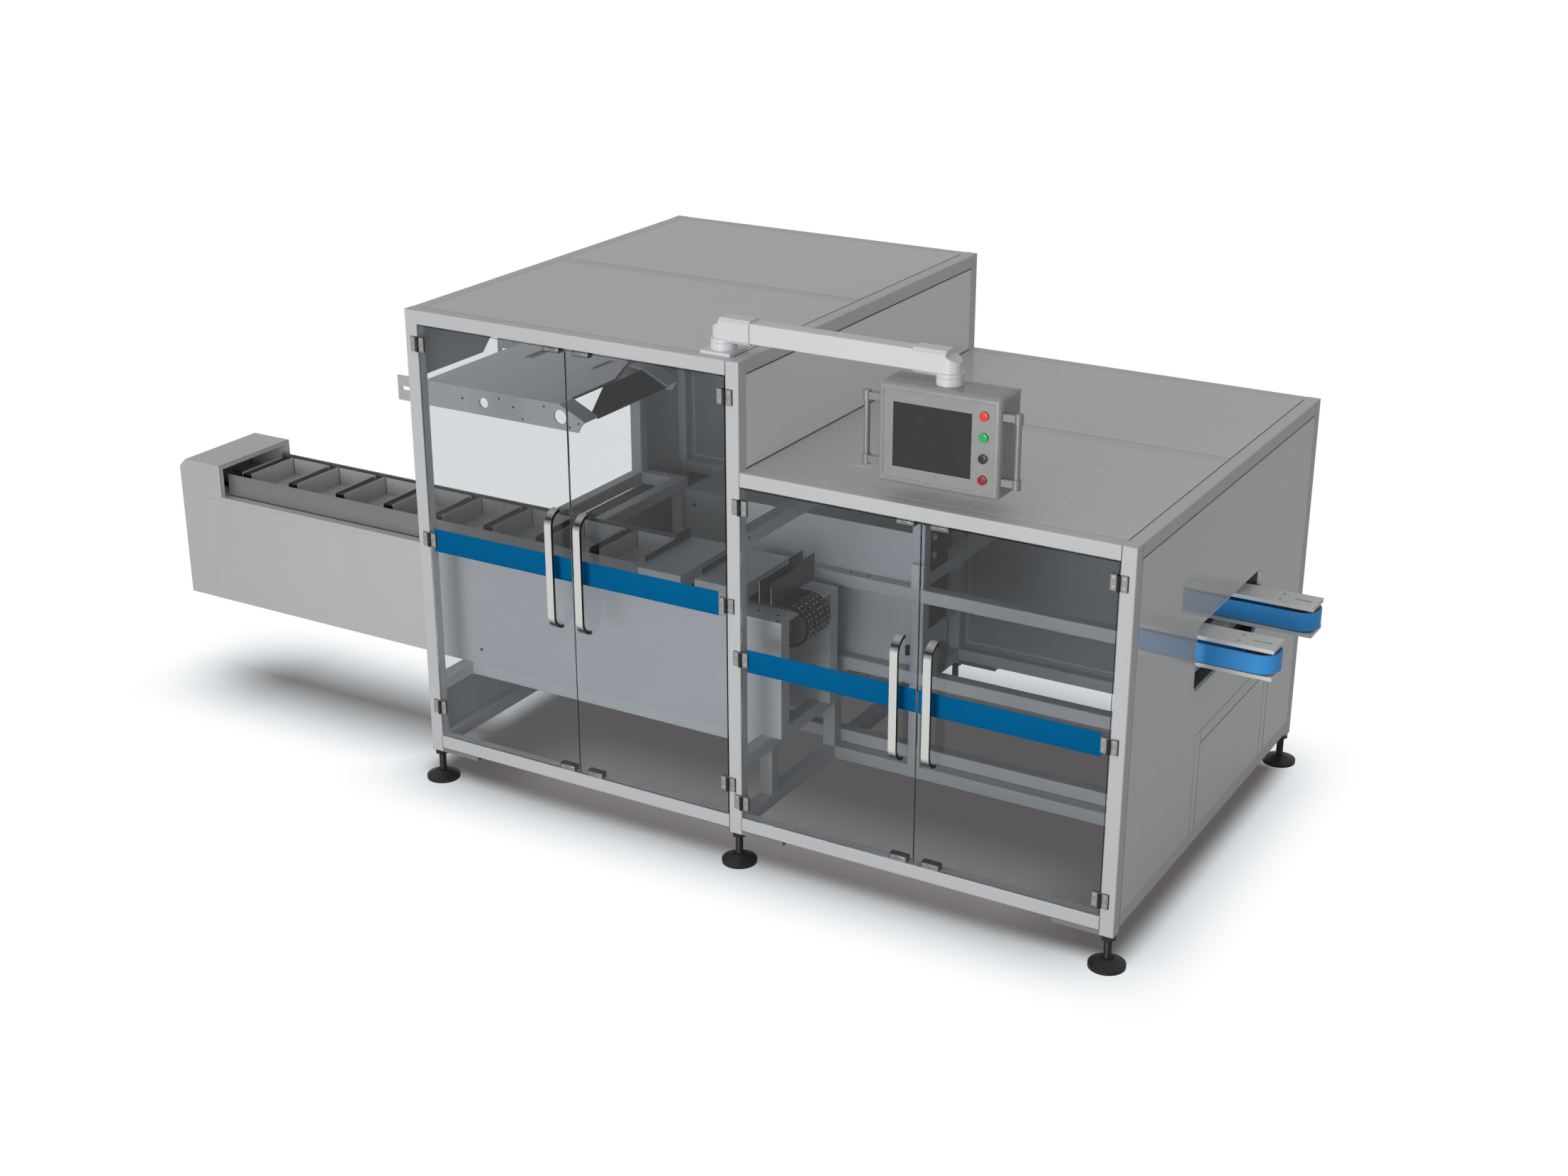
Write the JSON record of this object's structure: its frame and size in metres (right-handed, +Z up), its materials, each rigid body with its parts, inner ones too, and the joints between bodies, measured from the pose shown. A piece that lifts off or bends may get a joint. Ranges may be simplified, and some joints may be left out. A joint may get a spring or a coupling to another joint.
{
  "type": "automatic cartoner",
  "caption": "Packaging line cartoner: glazed tall and low cabinets on levelling feet, bucket infeed conveyor, carton magazine, swing-arm operator panel and exit belts.",
  "frame": {"origin": "middle of the footprint at floor level", "axes": "+X along the line from the infeed conveyor to the exit belts, +Y from the doors to the back, +Z up"},
  "size_m": [4.382, 1.8633, 1.942],
  "materials": {
    "frame_paint": "satin light grey paint",
    "panel_paint": "satin light grey paint",
    "foot_black": "black",
    "steel": "brushed stainless",
    "hinge_grey": "satin",
    "catch_grey": "matte",
    "tinted_glass": "dark tint",
    "handle_steel": "polished",
    "slat_plastic": "matte grey",
    "drum_steel": "turned",
    "arm_white": "satin white",
    "housing_grey": "satin grey",
    "screen_black": "gloss",
    "button_red": "gloss",
    "belt_blue": "satin",
    "vent_dark": "dark"
  },
  "bodies": {
    "frame": {"frame_posts": "frame_paint", "long_rails": "frame_paint", "cross_rails": "frame_paint", "left_wall_frame": "frame_paint", "conveyor_beams": "frame_paint", "packing_plates": "steel", "levelling_feet": "foot_black", "roof_panels": "panel_paint", "right_wall": "panel_paint", "hatch_frame": "frame_paint", "hatch_panel": "panel_paint", "tall_side_wall": "panel_paint", "left_walls": "panel_paint", "back_walls": "panel_paint", "post_hinge_leaves": "hinge_grey", "door_catches": "catch_grey", "conveyor_panels": "panel_paint", "conveyor_end_plate": "panel_paint", "conveyor_cover": "panel_paint", "trough_walls": "steel", "slat_chain": "slat_plastic", "bucket_dividers": "steel", "chain_drums": "drum_steel", "loading_hoods": "panel_paint", "carton_frame": "frame_paint", "magazine_plates": "steel", "magazine_floor": "steel", "magazine_guide": "steel", "arm_base": "arm_white", "exit_plates": "steel", "exit_belts": "belt_blue", "exit_pulleys": "drum_steel", "exit_carriers": "frame_paint", "core_rails": "frame_paint", "core_posts": "frame_paint", "core_panels": "panel_paint", "vent_panels": "vent_dark", "rear_shelf": "frame_paint"},
    "tall_left_door": {"tall_left_pane": "tinted_glass", "tall_left_handle": "handle_steel", "tall_left_hinges": "hinge_grey"},
    "tall_right_door": {"tall_right_pane": "tinted_glass", "tall_right_handle": "handle_steel", "tall_right_hinges": "hinge_grey"},
    "low_left_door": {"low_left_pane": "tinted_glass", "low_left_handle": "handle_steel", "low_left_hinges": "hinge_grey"},
    "low_right_door": {"low_right_pane": "tinted_glass", "low_right_handle": "handle_steel", "low_right_hinges": "hinge_grey"},
    "arm": {"swing_arm": "arm_white"},
    "operator_panel": {"panel_neck": "arm_white", "panel_housing": "housing_grey", "panel_screen": "screen_black", "panel_buttons": "button_red", "panel_grips": "handle_steel"}
  },
  "joints": [
    {"name": "tall_left_door_hinge", "type": "hinge", "parent": "frame", "child": "tall_left_door", "pos_m": [-0.749, -0.88175, 0.973], "axis": [0, 0, -1], "range_deg": [0, 110]},
    {"name": "tall_right_door_hinge", "type": "hinge", "parent": "frame", "child": "tall_right_door", "pos_m": [0.51, -0.88175, 0.973], "axis": [0, 0, 1], "range_deg": [0, 90]},
    {"name": "low_left_door_hinge", "type": "hinge", "parent": "frame", "child": "low_left_door", "pos_m": [0.564, -0.88175, 0.788], "axis": [0, 0, -1], "range_deg": [0, 90]},
    {"name": "low_right_door_hinge", "type": "hinge", "parent": "frame", "child": "low_right_door", "pos_m": [1.893, -0.88175, 0.788], "axis": [0, 0, 1], "range_deg": [0, 110]},
    {"name": "arm_swivel", "type": "hinge", "parent": "frame", "child": "arm", "pos_m": [0.454, -0.78575, 1.858], "axis": [0, 0, 1], "range_deg": [-90, 45]},
    {"name": "panel_swivel", "type": "hinge", "parent": "arm", "child": "operator_panel", "pos_m": [1.27, -0.78575, 1.858], "axis": [0, 0, 1], "range_deg": [-60, 60]}
  ]
}
